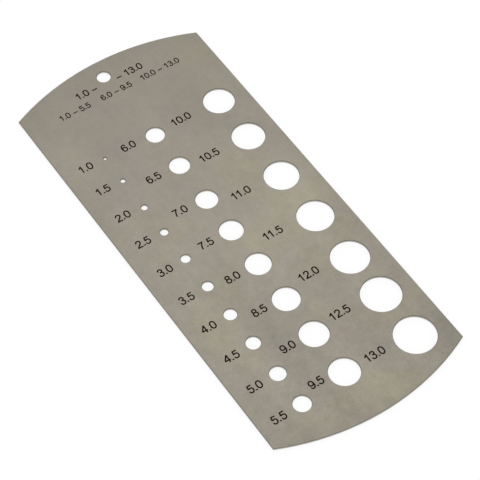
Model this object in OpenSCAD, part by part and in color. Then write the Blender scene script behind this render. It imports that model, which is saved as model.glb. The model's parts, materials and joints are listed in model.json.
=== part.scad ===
// Drill size gauge: a flat steel sheet with straight sides and two bowed ends.
// It has three columns of measuring holes, each one step wider than the last,
// and a small hole near one end to hang it from.
// The sheet lies flat on z = 0 with its middle at the origin, its length runs
// along Y, and the hanging hole is at the +Y end.

/* [Sheet] */
// Width of the sheet, between its straight sides
sheet_w = 66.2; // [60:0.1:90]
// Length of each straight side, from corner to corner
side_length = 141; // [130:0.5:200]
// Thickness of the sheet
sheet_t = 0.8; // [0.6:0.1:3]
// How far each rounded end bows out past its corners
end_bow = 7.3; // [3:0.1:20]
// Width of the small bevel that takes the burr off the outer edges
rim_bevel = 0.1; // [0.05:0.05:0.25]

/* [Measuring holes] */
// Diameter of the smallest drill that the gauge measures
smallest_drill = 1; // [0.8:0.1:2]
// Step in diameter from each hole to the next
drill_step = 0.5; // [0.1:0.05:0.6]
// How much wider each hole is than its drill
slide_clearance = 0.05; // [0.02:0.01:0.1]
// Width of the bevel at both mouths of every hole
mouth_bevel = 0.1; // [0.05:0.05:0.2]

/* [Columns] */
// Distance from the corners of the hanging end to the first row
first_row_drop = 27.5; // [20:0.5:40]
// Distance from the last row to the corners of the far end
last_row_rise = 7.5; // [5:0.5:20]
// Distance from the left side to the centres of the left column
left_inset = 14.8; // [8:0.1:17]
// Distance from the left side to the line where the middle holes end
middle_inset = 35.6; // [32:0.1:40]
// Distance from the right side to the line where the right holes end
right_inset = 4.7; // [2:0.1:8]
// How far each column drifts to the right from the first row to the last
column_lean = 0.2; // [0:0.1:1]

/* [Hanging hole] */
// Diameter of the hanging hole
hang_hole_d = 4.5; // [3:0.1:6]
// Distance from the crown of the end to the centre of the hanging hole
hang_hole_drop = 6.5; // [4:0.1:12]
// How far the hanging hole lies to the left of the middle
hang_hole_offset = 1.5; // [0:0.1:5]

/* [Hidden] */
$fn = 96;
steel_colour = "#999387";

// Heights of the holes in each column, as shares of the way down from the
// first row to the last. The columns were laid out one by one, so their
// steps are a little uneven.
left_row_shares = [0, 0.098, 0.214, 0.319, 0.43, 0.543, 0.656, 0.768, 0.886, 1];
middle_row_shares = [0.008, 0.143, 0.29, 0.42, 0.559, 0.7, 0.837, 0.982];
right_row_shares = [0.005, 0.165, 0.339, 0.512, 0.684, 0.834, 0.994];

// Number of the first hole in each column, counted from the smallest
middle_first = len(left_row_shares);
right_first = middle_first + len(middle_row_shares);

half_w = sheet_w / 2;
corner_y = side_length / 2;
crown_y = corner_y + end_bow;
end_radius = (half_w * half_w + end_bow * end_bow) / (2 * end_bow);
end_centre_y = crown_y - end_radius;
first_row_y = corner_y - first_row_drop;
last_row_y = last_row_rise - corner_y;
// Cuts run past the sheet by this much
overrun = sheet_t;

function row_y(share) = first_row_y + share * (last_row_y - first_row_y);

function lean_x(share) = share * column_lean;

function hole_d(number) = smallest_drill + number * drill_step + slide_clearance;

// Long bar with the width and thickness of the sheet and bevelled sides
module side_bar() {
    bevel_x = half_w - rim_bevel;
    bevel_z = sheet_t - rim_bevel;
    rotate([90, 0, 0])
        linear_extrude(height = 2 * (crown_y + overrun), center = true)
            polygon([
                [bevel_x, 0], [half_w, rim_bevel], [half_w, bevel_z], [bevel_x, sheet_t],
                [-bevel_x, sheet_t], [-half_w, bevel_z], [-half_w, rim_bevel], [-bevel_x, 0]
            ]);
}

// Disc whose bevelled rim shapes one rounded end
module end_disc() {
    bevel_z = sheet_t - rim_bevel;
    face_r = end_radius - rim_bevel - overrun;
    rotate_extrude()
        polygon([
            [0, -overrun], [face_r, -overrun], [end_radius, rim_bevel],
            [end_radius, bevel_z], [face_r, sheet_t + overrun], [0, sheet_t + overrun]
        ]);
}

// All the space that the rounded end at +Y lets the sheet fill
module end_trim() {
    reach = 2 * (crown_y + sheet_w);
    translate([0, end_centre_y, 0])
        end_disc();
    translate([-sheet_w, end_centre_y - reach, -overrun])
        cube([2 * sheet_w, reach, sheet_t + 2 * overrun]);
}

// The sheet before its holes are made
module blank() {
    intersection() {
        side_bar();
        end_trim();
        mirror([0, 1, 0])
            end_trim();
    }
}

// Cutter for one round hole of diameter d, with a bevel at each mouth
module round_hole(d) {
    wide_d = d + 2 * (mouth_bevel + overrun);
    translate([0, 0, -overrun])
        cylinder(h = sheet_t + 2 * overrun, d = d);
    translate([0, 0, -overrun])
        cylinder(h = mouth_bevel + overrun, d1 = wide_d, d2 = d);
    translate([0, 0, sheet_t - mouth_bevel])
        cylinder(h = mouth_bevel + overrun, d1 = d, d2 = wide_d);
}

// Small holes, with their centres on one line
module left_column() {
    for (i = [0 : len(left_row_shares) - 1]) {
        share = left_row_shares[i];
        translate([left_inset - half_w + lean_x(share), row_y(share), 0])
            round_hole(hole_d(i));
    }
}

// Wider holes, which end at one line on their right
module edge_column(shares, edge_x, first) {
    for (i = [0 : len(shares) - 1]) {
        share = shares[i];
        d = hole_d(first + i);
        translate([edge_x + lean_x(share) - d / 2, row_y(share), 0])
            round_hole(d);
    }
}

module hanging_hole() {
    translate([-hang_hole_offset, crown_y - hang_hole_drop, 0])
        round_hole(hang_hole_d);
}

module gauge_plate() {
    color(steel_colour)
        difference() {
            blank();
            left_column();
            edge_column(middle_row_shares, middle_inset - half_w, middle_first);
            edge_column(right_row_shares, half_w - right_inset, right_first);
            hanging_hole();
        }
}

gauge_plate();
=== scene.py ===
# %% [markdown]
# A drill size gauge: one flat sheet of stainless steel with 25 round holes,
# each a half millimetre wider than the last, and its size printed beside it.
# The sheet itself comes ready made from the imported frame. This lesson gives it
# its steel, prints the numbers on it, and lights and frames it.

# %% Load the frame
import json
import math
import bpy
from mathutils import Matrix, Vector


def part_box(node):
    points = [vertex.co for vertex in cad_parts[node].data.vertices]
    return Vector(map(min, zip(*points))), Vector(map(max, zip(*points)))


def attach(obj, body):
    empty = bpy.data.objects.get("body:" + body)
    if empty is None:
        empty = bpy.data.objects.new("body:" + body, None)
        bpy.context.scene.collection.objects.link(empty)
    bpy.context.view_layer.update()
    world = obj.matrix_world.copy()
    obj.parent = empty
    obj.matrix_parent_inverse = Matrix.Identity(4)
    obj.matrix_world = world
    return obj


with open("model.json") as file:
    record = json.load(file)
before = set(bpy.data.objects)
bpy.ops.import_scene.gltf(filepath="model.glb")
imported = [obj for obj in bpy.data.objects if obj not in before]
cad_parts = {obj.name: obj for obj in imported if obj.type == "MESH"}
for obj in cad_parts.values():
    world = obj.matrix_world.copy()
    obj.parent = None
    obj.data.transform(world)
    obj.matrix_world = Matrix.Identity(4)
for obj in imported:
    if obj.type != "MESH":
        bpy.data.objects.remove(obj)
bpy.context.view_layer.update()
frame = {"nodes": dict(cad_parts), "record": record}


mm = 0.001
sheet = frame["nodes"]["gauge_plate"]
sheet_low, sheet_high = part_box("gauge_plate")
half_w, crown_y, top_z = sheet_high
print("sheet, mm:", [round(v / mm, 2) for v in sheet_high - sheet_low])

# %% [markdown]
# The camera comes first, because everything else is judged through it. The
# photograph looks down on the sheet from beyond its lower left corner, from
# a little over half a metre away, with a long lens that keeps the perspective
# mild. The camera is placed by where it stands, the point on the sheet that
# falls in the middle of the picture, and a slight tilt of its level. A turn
# from a direction to an aim keeps the horizon level, so the tilt is added
# after it, about the camera's own axis.

# %% Place the camera
camera_place = Vector((-187.65, -293.49, 479.9)) * mm
camera_aim = Vector((-1.1, -6.07, 0.8)) * mm
camera_tilt = math.radians(-0.98)
lens_mm = 147.9

bpy.ops.object.camera_add(location=camera_place)
camera = bpy.context.object
camera.name = "camera"
camera.data.lens = lens_mm
turn = (camera_aim - camera_place).to_track_quat("-Z", "Y").to_matrix().to_4x4()
tilt = Matrix.Rotation(camera_tilt, 4, "Z")
camera.matrix_world = Matrix.Translation(camera_place) @ turn @ tilt
bpy.context.scene.camera = camera
print("camera stands", round((camera_aim - camera_place).length / mm), "mm from its aim")

# %% [markdown]
# Every colour in this file is written as it looks on screen, as a hex value.
# Shaders work with linear light, so one function turns the one into the other.

# %% Colours


def srgb(code):
    """Linear colour, with alpha, of a hex value such as "#808080", by the sRGB standard."""
    shares = [int(code[i : i + 2], 16) / 255 for i in (1, 3, 5)]
    linear = [s / 12.92 if s <= 0.04045 else ((s + 0.055) / 1.055) ** 2.4 for s in shares]
    return (*linear, 1.0)


print("mid grey in linear light:", round(srgb("#808080")[0], 3))

# %% [markdown]
# A material is a small tree of nodes. One helper adds a node with its settings
# and its links, and another starts an empty tree. That is all the help that
# the materials below need.

# %% Nodes


def add_node(tree, kind, inputs=None, **settings):
    """A new node. Each input is a value, or another node's output to link from."""
    node = tree.nodes.new(kind)
    for key, value in settings.items():
        setattr(node, key, value)
    for key, value in (inputs or {}).items():
        if isinstance(value, bpy.types.NodeSocket):
            tree.links.new(value, node.inputs[key])
        else:
            node.inputs[key].default_value = value
    return node


def new_material(name):
    """An empty node material and its tree."""
    material = bpy.data.materials.new(name)
    material.use_nodes = True
    material.node_tree.nodes.clear()
    return material, material.node_tree


print("helpers:", add_node.__name__, "and", new_material.__name__)

# %% [markdown]
# The sheet is rolled stainless steel with a satin finish: a warm grey metal that mirrors only in a
# soft, spread way. Its tone isn't even, and a painted highlight lies on it as well. Some of the
# tint and shade, and that highlight, have a place of their own, in soft oval zones. A Mapping node
# moves the centre of an oval to zero and makes its half axes 1, and a spherical gradient falls from
# 1 there to 0 at its edge. Object coordinates stay put on the sheet from any side.

# %% Soft zones
steel, tree = new_material("satin_stainless_steel")
place = add_node(tree, "ShaderNodeTexCoord").outputs["Object"]


def add_zones(value, zones):
    """A value with soft ovals added. Each is (x, y, half width, half length, amount), in mm."""
    for x, y, half_width, half_length, amount in zones:
        centre = (x * mm, y * mm, 0)
        half_axes = (half_width * mm, half_length * mm, 1)
        oval = add_node(
            tree, "ShaderNodeMapping",
            {"Vector": place, "Location": centre, "Scale": half_axes},
            vector_type="TEXTURE",
        ).outputs["Vector"]
        cone = add_node(
            tree, "ShaderNodeTexGradient", {"Vector": oval}, gradient_type="SPHERICAL",
        ).outputs["Fac"]
        mound = add_node(
            tree, "ShaderNodeMapRange", {"Value": cone}, interpolation_type="SMOOTHSTEP",
        ).outputs["Result"]
        value = add_node(
            tree, "ShaderNodeMath", {0: mound, 1: amount, 2: value}, operation="MULTIPLY_ADD",
        ).outputs["Value"]
    return value


print("steel:", steel.name)

# %% [markdown]
# Most of the steel is one grey, with patches a couple of centimetres wide that
# lean to straw or to a cooler grey. The straw tint gathers beside the widest
# holes, on the lower left and across the far end, and keeps off the upper left.
# A noise over the place on the sheet picks the tone, the zones lift it towards
# straw or lower it, and a colour ramp with a flat middle keeps most of the face
# at the main tone.

# %% Tone of the steel
steel_tone = "#b2ab9e"
steel_straw_tone = "#b3ad9a"
steel_cool_tone = "#b0aa9e"
tone_patch = 20 * mm
# finer layers in a noise, and how strong each is beside the one before
noise_layers = 3.0
layer_strength = 0.6
lowest_patch, highest_patch = 0.1, 0.93
all_cool, plain_from, plain_to, all_straw = 0.38, 0.45, 0.53, 0.64
straw_zones = [
    (13, 10, 9, 24, 0.18), (22, -3, 10, 16, 0.13), (16, -28, 12, 26, 0.12),
    (-22, -22, 22, 34, 0.1), (0, -75, 36, 18, 0.12), (-12, 42, 40, 60, -0.08),
]

patches = add_node(
    tree, "ShaderNodeTexNoise",
    {
        "Vector": place, "Scale": 1 / tone_patch,
        "Detail": noise_layers, "Roughness": layer_strength,
    },
).outputs["Fac"]
mild_patches = add_node(
    tree, "ShaderNodeMapRange",
    {"Value": patches, "To Min": lowest_patch, "To Max": highest_patch},
).outputs["Result"]
tones = add_node(tree, "ShaderNodeValToRGB", {"Fac": add_zones(mild_patches, straw_zones)})
tones.color_ramp.elements[0].position = all_cool
tones.color_ramp.elements[0].color = srgb(steel_cool_tone)
tones.color_ramp.elements[1].position = all_straw
tones.color_ramp.elements[1].color = srgb(steel_straw_tone)
tones.color_ramp.elements.new(plain_from).color = srgb(steel_tone)
tones.color_ramp.elements.new(plain_to).color = srgb(steel_tone)
print("steel tones over patches of", tone_patch / mm, "mm")

# %% [markdown]
# Rolling draws everything out along the sheet. It leaves wide soft bands,
# lighter and darker, and very fine lines. Both are the same noise, stretched
# along Y by a Mapping node, once coarse and once fine. The real lines are a few
# hundredths of a millimetre wide, finer than a pixel of the picture, so they
# are drawn wider than they are, and faint.

# %% Bands and lines of the rolling
band_width = 15 * mm
band_length = 32 * mm
line_width = 0.45 * mm
line_length = 12 * mm


def rolled_noise(width, length):
    """Noise drawn out along the sheet, from 0 to 1."""
    stretch = add_node(
        tree, "ShaderNodeMapping", {"Vector": place, "Scale": (1 / width, 1 / length, 1 / width)},
    ).outputs["Vector"]
    return add_node(
        tree, "ShaderNodeTexNoise",
        {
            "Vector": stretch, "Scale": 1.0,
            "Detail": noise_layers, "Roughness": layer_strength,
        },
    ).outputs["Fac"]


bands = rolled_noise(band_width, band_length)
lines = rolled_noise(line_width, line_length)
print("bands", band_width / mm, "mm wide, lines", line_width / mm, "mm wide")

# %% [markdown]
# After stamping, the gauges were tumbled. That leaves the faces faintly
# mottled, from spots of a few millimetres down to a fine grain, and alike in
# every direction. A noise gives that when each finer layer of it is as strong
# as the one before, which is a roughness of 1.

# %% Mottling of the faces
mottle_size = 3 * mm
mottle_layers = 4.0
even_strength = 1.0

mottle = add_node(
    tree, "ShaderNodeTexNoise",
    {
        "Vector": place, "Scale": 1 / mottle_size,
        "Detail": mottle_layers, "Roughness": even_strength,
    },
).outputs["Fac"]
print("mottling in spots of", mottle_size / mm, "mm and less")

# %% [markdown]
# Bands and mottling are calm near the hanging hole and grow stronger towards
# the far end. So both noises get a swing about the middle of their range that
# depends on Y.

# %% Stronger towards the far end
calm_swing, strong_swing = 0.7, 1.5
calm_y, strong_y = 60 * mm, -65 * mm
middle = 0.5

spot = add_node(tree, "ShaderNodeSeparateXYZ", {"Vector": place})
swing = add_node(
    tree, "ShaderNodeMapRange",
    {
        "Value": spot.outputs["Y"], "From Min": strong_y, "From Max": calm_y,
        "To Min": strong_swing, "To Max": calm_swing,
    },
).outputs["Result"]


def swung(noise):
    """Noise whose distance from the middle of its range is multiplied by the swing."""
    distance = add_node(tree, "ShaderNodeMath", {0: noise, 1: middle}, operation="SUBTRACT")
    return add_node(
        tree, "ShaderNodeMath",
        {0: distance.outputs["Value"], 1: swing, 2: middle},
        operation="MULTIPLY_ADD",
    ).outputs["Value"]


bands, mottle = swung(bands), swung(mottle)
print("swing", calm_swing, "near the hanging hole and", strong_swing, "at the far end")

# %% [markdown]
# A painted shade darkens the faces for some millimetres along the outline. How near a point is to
# the outline follows from its place: its distance from the middle line for the straight sides, and
# its distance from the centre of the arc for the rounded ends. The radius of that arc follows from
# how far an end bows out past its corners. The sheet is the same on both halves, so the absolute
# values of X and Y are enough.

# %% Painted shade along the outline
# width of the painted shade along the outline
outline_shade_width = 8 * mm
side_reach = 0.01 * mm

side_points = [v.co for v in sheet.data.vertices if v.co.x > half_w - side_reach]
corner_y = max(point.y for point in side_points)
bow = crown_y - corner_y
end_radius = (half_w**2 + bow**2) / (2 * bow)
across, along = [
    add_node(tree, "ShaderNodeMath", {0: spot.outputs[axis]}, operation="ABSOLUTE").outputs["Value"]
    for axis in ("X", "Y")
]
from_centre = add_node(tree, "ShaderNodeMath", {0: along, 1: end_radius - crown_y}, operation="ADD")
spoke = add_node(tree, "ShaderNodeCombineXYZ", {"X": across, "Y": from_centre.outputs["Value"]})
radius = add_node(
    tree, "ShaderNodeVectorMath", {0: spoke.outputs["Vector"]}, operation="LENGTH",
).outputs["Value"]
near_side, near_end = [
    add_node(
        tree, "ShaderNodeMapRange",
        {"Value": distance, "From Min": outline - outline_shade_width, "From Max": outline},
        interpolation_type="SMOOTHSTEP",
    ).outputs["Result"]
    for distance, outline in ((across, half_w), (radius, end_radius))
]
# mask of the painted shade along the outline
outline_shade_mask = add_node(
    tree, "ShaderNodeMath", {0: near_side, 1: near_end}, operation="MAXIMUM",
).outputs["Value"]
# the width of the painted shade along the outline, and the radius of the rounded ends
print("faces dull over", outline_shade_width / mm, "mm, ends round to", round(end_radius / mm, 1), "mm")

# %% [markdown]
# Bands, lines and mottling darken the tone a little where they are low, and the painted shade along
# the outline darkens it where the outline is near. More zones are lighter or darker than the rest,
# to either side of the middle of their shade: a light one across the sheet, which is a painted
# highlight, and a long pair, light and dark, on the lower left are the plainest. Multiplying by a
# shade between a light grey and white gives each of these, and keeps the hue. Of a Mix node's
# sockets, 0 is how much, 6 and 7 are its two colours, and output 2 is the mixed one.

# %% Colour of the faces
band_shade = "#dadada"
zone_shade = "#e8e8e8"
line_shade = "#f0f0f0"
mottle_shade = "#d4d4d4"
# a painted shade that darkens the faces towards the outline
outline_painted_shade = "#fcfcfc"
white = srgb("#ffffff")
# the first light zone, across the middle of the sheet, is a painted highlight
highlight_and_light_zones = [
    (0, 2, 60, 20, 0.14), (22, -1, 14, 16, 0.22), (28, 10, 10, 18, 0.2),
    (-22, -30, 7, 42, 0.3), (-28, 48, 10, 16, 0.38), (2, -72, 12, 12, 0.36),
]
dark_zones = [
    (14, 42, 14, 20, -0.26), (-12, 14, 16, 22, -0.22), (-12, -38, 8, 34, -0.48),
    (12, -38, 14, 34, -0.25), (28, -30, 8, 30, -0.17), (30, -64, 14, 16, -0.44),
]

face = tones.outputs["Color"]
for amount, at_0, at_1 in (
    (bands, srgb(band_shade), white),
    (lines, srgb(line_shade), white),
    (mottle, srgb(mottle_shade), white),
    (add_zones(middle, highlight_and_light_zones + dark_zones), srgb(zone_shade), white),
    # the painted shade along the outline
    (outline_shade_mask, white, srgb(outline_painted_shade)),
):
    shade = add_node(
        tree, "ShaderNodeMix", {0: amount, 6: at_0, 7: at_1}, data_type="RGBA",
    ).outputs[2]
    face = add_node(
        tree, "ShaderNodeMix", {0: 1.0, 6: face, 7: shade},
        data_type="RGBA", blend_type="MULTIPLY",
    ).outputs[2]
print("face colour built from", len(tree.nodes), "nodes")

# %% [markdown]
# The walls of the holes and of the outline were cut, not rolled, and are a little rougher and
# brighter than the faces. The narrow bevels carry a painted shade, darkest at the mouths of the
# holes and less dark along the outline. Which is which shows in how far a surface faces up or down:
# all the way on a face, half way on a bevel, and not at all on a wall. Where the painted shade
# along the outline is at its strongest, a bevel belongs to the outline, and elsewhere to a hole.

# %% Walls and bevels
wall_tone = "#aaa69e"
# the bevels carry a painted shade, darkest at the mouths of the holes
mouth_bevel_painted_shade = "#4c4945"
outline_bevel_painted_shade = "#6a6761"
# each pair is where a change begins and where it is complete
face_to_bevel = (0.98, 0.8)
bevel_to_wall = (0.6, 0.2)
mouth_to_rim = (0.9, 0.95)

facing = add_node(tree, "ShaderNodeNewGeometry").outputs["True Normal"]
upward = add_node(tree, "ShaderNodeSeparateXYZ", {"Vector": facing}).outputs["Z"]
flatness = add_node(tree, "ShaderNodeMath", {0: upward}, operation="ABSOLUTE").outputs["Value"]
on_edge, on_wall, on_rim = [
    add_node(
        tree, "ShaderNodeMapRange", {"Value": value, "From Min": begins, "From Max": complete},
    ).outputs["Result"]
    for value, (begins, complete) in (
        (flatness, face_to_bevel), (flatness, bevel_to_wall), (outline_shade_mask, mouth_to_rim),
    )
]
# painted shade of the bevels, then the tone of the walls
edge = srgb(mouth_bevel_painted_shade)
for amount, tone in ((on_rim, outline_bevel_painted_shade), (on_wall, wall_tone)):
    edge = add_node(
        tree, "ShaderNodeMix", {0: amount, 6: edge, 7: srgb(tone)}, data_type="RGBA",
    ).outputs[2]
colour = add_node(
    tree, "ShaderNodeMix", {0: on_edge, 6: face, 7: edge}, data_type="RGBA",
).outputs[2]
print("walls", wall_tone, "and bevels", mouth_bevel_painted_shade, outline_bevel_painted_shade)

# %% [markdown]
# Last comes the way the metal mirrors. Satin steel has a roughness of about
# 0.3, which wanders with the bands and the lines, and the fine lines also give
# it a relief of less than a micron. The cut edges are rougher. Then the steel
# goes on the sheet in place of its plain finish.

# %% Satin stainless steel
smoothest, roughest = 0.26, 0.36
edge_roughness = 0.5
line_depth = 0.0006 * mm

# the bands and the lines reach about 1 each
most_rub = 2.0
rub = add_node(tree, "ShaderNodeMath", {0: bands, 1: lines}, operation="ADD").outputs["Value"]
gloss = add_node(
    tree, "ShaderNodeMapRange",
    {"Value": rub, "From Max": most_rub, "To Min": smoothest, "To Max": roughest},
).outputs["Result"]
roughness = add_node(
    tree, "ShaderNodeMix", {"Factor": on_edge, "A": gloss, "B": edge_roughness},
).outputs["Result"]
relief = add_node(
    tree, "ShaderNodeBump", {"Height": lines, "Distance": line_depth, "Strength": 1.0},
).outputs["Normal"]
surface = add_node(
    tree, "ShaderNodeBsdfPrincipled",
    {"Base Color": colour, "Metallic": 1.0, "Roughness": roughness, "Normal": relief},
)
add_node(tree, "ShaderNodeOutputMaterial", {"Surface": surface.outputs["BSDF"]})
sheet.data.materials.clear()
sheet.data.materials.append(steel)
print("steel on", sheet.name, "with", len(sheet.data.polygons), "faces")

# %% [markdown]
# The numbers are screen printed in a black ink with a matt skin. The ink is
# thin and lies unevenly, so its tone and gloss wander a little within a
# stroke. Its gleam is kept very low, because in white surroundings even a faint
# one would grey the black.

# %% Black printing ink
ink_tone = "#150b02"
ink_worn_tone = "#241909"
black_up_to, worn_from = 0.45, 0.75
least_matt, most_matt = 0.5, 0.7
ink_gleam = 0.03
ink_grain = 0.5 * mm
ink_layers = 2.0

ink, tree = new_material("black_printing_ink")
place = add_node(tree, "ShaderNodeTexCoord").outputs["Object"]
grain = add_node(
    tree, "ShaderNodeTexNoise",
    {"Vector": place, "Scale": 1 / ink_grain, "Detail": ink_layers},
).outputs["Fac"]
tones = add_node(tree, "ShaderNodeValToRGB", {"Fac": grain})
tones.color_ramp.elements[0].position = black_up_to
tones.color_ramp.elements[0].color = srgb(ink_tone)
tones.color_ramp.elements[1].position = worn_from
tones.color_ramp.elements[1].color = srgb(ink_worn_tone)
gloss = add_node(
    tree, "ShaderNodeMapRange", {"Value": grain, "To Min": least_matt, "To Max": most_matt},
).outputs["Result"]
surface = add_node(
    tree, "ShaderNodeBsdfPrincipled",
    {
        "Base Color": tones.outputs["Color"], "Roughness": gloss,
        "Specular IOR Level": ink_gleam,
    },
)
add_node(tree, "ShaderNodeOutputMaterial", {"Surface": surface.outputs["BSDF"]})
print("ink:", ink.name)

# %% [markdown]
# The numbers are in a plain sans-serif face whose strokes have one even
# width, so a figure can be drawn as a pen would draw it: a few points give the
# middle of each stroke, and a flat pen swept along it gives the figure its
# body. The points below are in hundredths of the type size. A round stroke
# runs smoothly through its points, and a straight one turns sharply at them.
# A nine is a six turned half round.

# %% Points of the figures
ROUND = "AUTO"
STRAIGHT = "VECTOR"
six_bowl = [
    (28.6, 42.6), (42, 37.5), (46.6, 22.8), (41.5, 8),
    (28.6, 2.4), (15, 8), (10, 22.8), (15, 37.5),
]
six_back = [(45.4, 53.9), (40, 64.5), (29.2, 68.3), (16, 62), (9.3, 48), (8.3, 34), (10.4, 20)]
figure_middle = (27.8, 35.4)


def turned(points):
    """The points of a stroke turned half round about the middle of a figure."""
    return [(2 * figure_middle[0] - x, 2 * figure_middle[1] - y) for x, y in points]


# each stroke is (how it bends, whether it closes on itself, its points)
figures = {
    "0": [
        (ROUND, True, [
            (27.7, 67.3), (43, 58), (46.8, 35.4), (43, 12.8),
            (27.7, 3.5), (12.4, 12.8), (8.6, 35.4), (12.4, 58),
        ]),
    ],
    "1": [
        (STRAIGHT, False, [(32.9, 0), (32.9, 71.8)]),
        (ROUND, False, [(11, 50), (22, 56), (31, 66)]),
    ],
    "2": [
        (STRAIGHT, False, [(3, 4.2), (50.3, 4.2)]),
        (ROUND, False, [
            (9.2, 50.7), (14.5, 63), (27.9, 68.2), (41, 63),
            (45.7, 52), (40, 38.5), (25.2, 24.3), (8.6, 6),
        ]),
    ],
    "3": [
        (ROUND, False, [
            (9.5, 52.5), (14.5, 63.5), (26.7, 68.3), (39, 63.5), (43, 53.4), (37, 42), (22, 38.2),
        ]),
        (ROUND, False, [
            (24, 38.4), (41, 34), (46.4, 21.3), (40.5, 7.8), (27, 2.4), (14.5, 7.2), (8.6, 19.5),
        ]),
    ],
    "4": [
        (STRAIGHT, False, [(36.7, 0), (36.7, 71.6)]),
        (STRAIGHT, False, [(1.3, 21.2), (50.8, 21.2)]),
        (STRAIGHT, False, [(4.4, 23.4), (34.4, 66.6)]),
    ],
    "5": [
        (STRAIGHT, False, [(48.2, 66.4), (16, 66.4), (10.8, 36.8)]),
        (ROUND, False, [
            (11.6, 37.6), (28.4, 43.6), (42, 38.2), (47, 23.9),
            (41.5, 8.2), (27.2, 2.4), (14.5, 7), (8.8, 19),
        ]),
    ],
    "6": [(ROUND, True, six_bowl), (ROUND, False, six_back)],
    "7": [
        (STRAIGHT, False, [(4.7, 66.4), (51, 66.4)]),
        (ROUND, False, [(46.3, 65.2), (33, 45.5), (23.5, 22), (19.3, 0)]),
    ],
    "8": [
        (ROUND, True, [
            (27.6, 68.3), (39, 64), (43.6, 53.5), (39, 42.9),
            (27.6, 38.6), (16.2, 42.9), (11.6, 53.5), (16.2, 64),
        ]),
        (ROUND, True, [
            (27.6, 38.6), (41, 33.7), (46.7, 20.5), (41, 7.6),
            (27.6, 2.4), (14.2, 7.6), (8.5, 20.5), (14.2, 33.7),
        ]),
    ],
    "9": [(ROUND, True, turned(six_bowl)), (ROUND, False, turned(six_back))],
    ".": [(STRAIGHT, False, [(3.4, 6), (17.4, 6)])],
    "-": [(STRAIGHT, False, [(3, 26), (52.6, 26)])],
}
print(len(figures), "figures and signs")

# %% [markdown]
# Each figure starts as a curve object from a primitive, whose own spline gives
# way to one spline for each stroke. It is kept flat and hollow, because its
# body is to come from the pen alone.

# %% Add a curve
hundredth = 0.01
steps_between_points = 5


def deselect_all():
    """Leaves edit mode and deselects every object."""
    if bpy.context.object and bpy.context.object.mode != "OBJECT":
        bpy.ops.object.mode_set(mode="OBJECT")
    bpy.ops.object.select_all(action="DESELECT")


def add_curve(name, strokes):
    """A flat Bezier curve with one spline for each stroke."""
    deselect_all()
    bpy.ops.curve.primitive_bezier_curve_add()
    curve = bpy.context.object
    curve.name = name
    curve.data.dimensions = "2D"
    curve.data.fill_mode = "NONE"
    curve.data.resolution_u = steps_between_points
    curve.data.splines.clear()
    for bend, closed, points in strokes:
        spline = curve.data.splines.new("BEZIER")
        spline.bezier_points.add(len(points) - 1)
        spline.use_cyclic_u = closed
        for point, (x, y) in zip(spline.bezier_points, points):
            point.co = (x * hundredth, y * hundredth, 0)
            point.handle_left_type = bend
            point.handle_right_type = bend
    return curve


print("curves take", steps_between_points, "steps from point to point")

# %% [markdown]
# The pen's section is a flat rectangle, as wide as a stroke and as thick as the
# film of ink. A curve takes it as its bevel object and sweeps it along every
# stroke. Once the swept curve is a mesh, the doubled points where a closed
# stroke meets itself are merged, and strokes that cross are united, so that
# each figure is one closed body.

# %% Draw the figures
pen_width = 11.5
pen_thickness = 0.8
merge_distance = 0.0001
right, top = pen_width / 2, pen_thickness / 2
pen_corners = [(-right, -top), (right, -top), (right, top), (-right, top)]
pen = add_curve("pen", [(STRAIGHT, True, pen_corners)])


def draw_figure(character):
    """One figure as a closed mesh, at a type size of 1 m, from the sweep of the pen."""
    figure = add_curve("figure_" + character, figures[character])
    figure.data.bevel_mode = "OBJECT"
    figure.data.bevel_object = pen
    figure.data.use_fill_caps = True
    bpy.ops.object.convert(target="MESH")
    bpy.ops.object.mode_set(mode="EDIT")
    bpy.ops.mesh.select_all(action="SELECT")
    bpy.ops.mesh.remove_doubles(threshold=merge_distance)
    bpy.ops.mesh.normals_make_consistent(inside=False)
    if len(figures[character]) > 1:
        bpy.ops.mesh.intersect_boolean(operation="UNION", use_self=True, solver="EXACT")
    bpy.ops.object.mode_set(mode="OBJECT")
    return bpy.context.object


drawn = {character: draw_figure(character) for character in figures}
for character, figure in drawn.items():
    print("figure", character, len(figure.data.polygons), "faces")

# %% [markdown]
# A line of type is set from left to right. Every figure takes the same step,
# the point and the space take less, and a figure after a 1 stands a little
# closer. Each figure is a copy of the drawn one, with a mesh of its own. It is
# scaled to the type size, and in height to the film of ink. The film is drawn a
# little thicker than a real one, with its lower third sunk in the steel, so
# that no gap shows.

# %% Set a line of type
# steps are in hundredths of the type size
wide_step = 55.6
steps = {" ": 27.8, ".": 21}
step_after_1 = wide_step - 2
pair_steps = {"10": step_after_1, "11": wide_step - 8, "12": step_after_1, "13": step_after_1}
film = 0.03 * mm
film_proud = 0.02 * mm
film_middle = top_z + film_proud - film / 2


def set_type(text, x, y, size):
    """Copies of the figures that spell a text, with its baseline from x, y to the right."""
    letters = []
    for character, following in zip(text, text[1:] + " "):
        if character in drawn:
            letter = drawn[character].copy()
            letter.data = drawn[character].data.copy()
            letter.location = (x, y, film_middle)
            letter.scale = (size, size, film / (pen_thickness * hundredth))
            bpy.context.collection.objects.link(letter)
            letters.append(letter)
        step = pair_steps.get(character + following, steps.get(character, wide_step))
        x += step * hundredth * size
    return letters


print("film of ink", round(film_proud / mm, 3), "mm proud of the steel")

# %% [markdown]
# All the figures of a column are joined into one printed piece. Applying the
# place puts it in the mesh and leaves the object at the origin, and the piece
# then rides on the sheet.

# %% Make a printed piece


def print_piece(name, letters):
    """Joins figures into one printed piece that rides on the sheet."""
    deselect_all()
    for letter in letters:
        letter.select_set(True)
    bpy.context.view_layer.objects.active = letters[0]
    bpy.ops.object.join()
    bpy.ops.object.transform_apply(location=True, rotation=True, scale=True)
    piece = bpy.context.object
    piece.name = name
    piece.data.name = name
    piece.data.materials.clear()
    piece.data.materials.append(ink)
    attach(piece, "root")
    print(name, len(piece.data.polygons), "faces")


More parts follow.
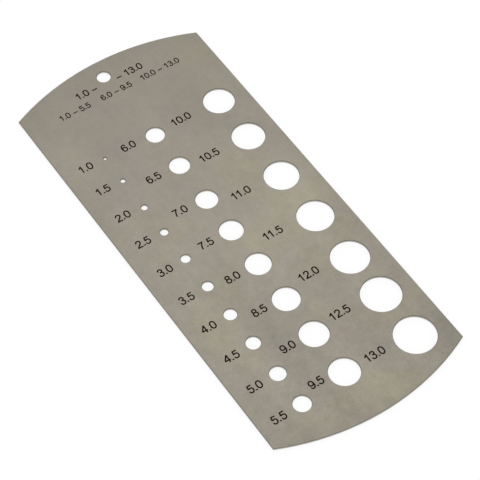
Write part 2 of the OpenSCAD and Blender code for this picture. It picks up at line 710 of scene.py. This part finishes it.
# %% [markdown]
# Each number stands left of its hole and says how wide the hole is. The
# frame's record names every hole after its size, so the numbers and their rows
# are read from there. They weren't set on a grid: each column of them leans a
# little to the left on its way down, and most stand a touch above or below the
# middle of their hole.

# %% Print the hole sizes
type_size = 3.8 * mm
# in hundredths of the type size
figure_height = 71.6
column_drift = 1.0 * mm
# for each column, in mm: where its numbers start, how far each stands above the
# middle of its hole, and how far it strays to the right of the column
number_columns = {
    "print_left_column": (
        -27.72,
        [0.2, 0.3, 0.8, 0.3, -0.3, -0.2, -0.2, -0.4, 0, -0.1],
        [0, 0, 0, 0, 0, 0, 0, 0, 0, 0],
    ),
    "print_middle_column": (
        -12.34,
        [0.9, 0.4, 0.8, 0.1, 0.2, 1.0, 0.6, 1.6],
        [0, 0, 0, 0, -0.1, 0, -0.1, -0.1],
    ),
    "print_right_column": (
        5.66,
        [0.5, 0.5, 1.4, 1.9, 1.9, 1.5, 1.2],
        [0.2, -0.2, 0.1, -0.2, 0.2, 0, 0.2],
    ),
}
holes = [m for m in frame["record"]["mounts"] if m["name"].startswith("hole_")]
row_heights = [hole["pos_m"][1] for hole in holes]
first_row, last_row = max(row_heights), min(row_heights)

figure_half_height = figure_height / 2 * hundredth * type_size
waiting = list(holes)
for name, (start, rises, strays) in number_columns.items():
    column, waiting = waiting[: len(rises)], waiting[len(rises) :]
    letters = []
    for hole, rise, stray in zip(column, rises, strays):
        number = hole["name"].removeprefix("hole_").replace("_", ".")
        height = hole["pos_m"][1]
        drift = column_drift * (first_row - height) / (first_row - last_row)
        baseline = height + rise * mm - figure_half_height
        letters += set_type(number, (start + stray) * mm - drift, baseline, type_size)
    print_piece(name, letters)

# %% [markdown]
# Near the hanging hole the sheet carries a heading. Here it gives in plain
# figures what the gauge covers: the whole range on the upper line, and the
# range of each column on the lower one. With that the last figure is set, and
# the drawn ones and the pen are cleared away.

# %% Print the ranges
# the baseline and the type size of each line
upper_line = (67.45 * mm, 3.6 * mm)
lower_line = (63.0 * mm, 3.0 * mm)
# each entry is a text, where it starts in mm, and its line
heading = [
    ("1.0 -", -13.4, upper_line),
    ("- 13.0", 1.5, upper_line),
    ("1.0 - 5.5", -22.1, lower_line),
    ("6.0 - 9.5", -6.9, lower_line),
    ("10.0 - 13.0", 7.7, lower_line),
]
letters = []
for text, start, (baseline, size) in heading:
    letters += set_type(text, start * mm, baseline, size)
print_piece("print_heading", letters)

for figure in drawn.values():
    bpy.data.objects.remove(figure)
bpy.data.objects.remove(pen)

# %% [markdown]
# The gauge lies on a pale floor that runs out to white, as in a catalogue
# picture. To the camera, and to the steel that mirrors it, the floor shows
# mostly its own white. The rest of the floor's light is what falls on it, so
# the gauge still leaves its soft shadow there. Light Path tells the rays that
# look at the floor from the ones that only carry light.

# %% Floor
floor_gap = 0.02 * mm
# in metres
floor_side = 4.0
floor_own_white = 0.8
floor_paint = "#fcfcfc"

matt_white, tree = new_material("matt_white_floor")
path = add_node(tree, "ShaderNodeLightPath")
seen = path.outputs["Is Camera Ray"]
for ray in ("Is Glossy Ray", "Is Transmission Ray"):
    seen = add_node(
        tree, "ShaderNodeMath", {0: seen, 1: path.outputs[ray]}, operation="MAXIMUM",
    ).outputs["Value"]
share = add_node(
    tree, "ShaderNodeMath", {0: seen, 1: floor_own_white}, operation="MULTIPLY",
).outputs["Value"]
paint = add_node(tree, "ShaderNodeBsdfDiffuse", {"Color": srgb(floor_paint)})
glow = add_node(tree, "ShaderNodeEmission", {"Color": white, "Strength": 1.0})
surface = add_node(
    tree, "ShaderNodeMixShader", {0: share, 1: paint.outputs["BSDF"], 2: glow.outputs["Emission"]},
)
add_node(tree, "ShaderNodeOutputMaterial", {"Surface": surface.outputs["Shader"]})

deselect_all()
bpy.ops.mesh.primitive_plane_add(size=floor_side, location=(0, 0, sheet_low.z - floor_gap))
floor = bpy.context.object
floor.name = "floor"
floor.data.materials.append(matt_white)
print("floor", floor_side, "m wide,", floor_gap / mm, "mm below the sheet")

# %% [markdown]
# The sky is an even white of strength 1. It is at once the backdrop, the main
# light and what the steel mirrors, so a colour renders about as it is written.

# %% Sky
sky = bpy.data.worlds.new("white_sky")
sky.use_nodes = True
sky.node_tree.nodes.clear()
glow = add_node(sky.node_tree, "ShaderNodeBackground", {"Color": white, "Strength": 1.0})
add_node(sky.node_tree, "ShaderNodeOutputWorld", {"Surface": glow.outputs["Background"]})
bpy.context.scene.world = sky
print("world:", sky.name)

# %% [markdown]
# A flat metal sheet shows hardly anything but what it mirrors. One wide soft
# lamp hangs where the middle of the sheet mirrors it into the camera, so the
# steel is a little brighter across its middle and falls off towards its ends.
# A second, weaker one on the other side keeps the shadow soft.

# %% Lamps
lamps = {
    # name: place and aim in mm, side in m, power in watts
    "mirrored_lamp": ((258, 390, 743), (-14, -26, 1), 0.3, 0.16),
    "filling_lamp": ((-700, 300, 800), (0, 0, 1), 0.6, 0.4),
}
for name, (stands, aim, side, power) in lamps.items():
    bpy.ops.object.light_add(type="AREA", location=Vector(stands) * mm)
    lamp = bpy.context.object
    lamp.name = name
    lamp.data.size = side
    lamp.data.energy = power
    lamp.rotation_euler = (Vector(aim) - Vector(stands)).to_track_quat("-Z", "Y").to_euler()
    print(name, power, "W")

# %% [markdown]
# The last step sets the scene's view transform to Standard and hands the scene over.

# %% Finish
scene = bpy.context.scene
scene.view_settings.view_transform = "Standard"
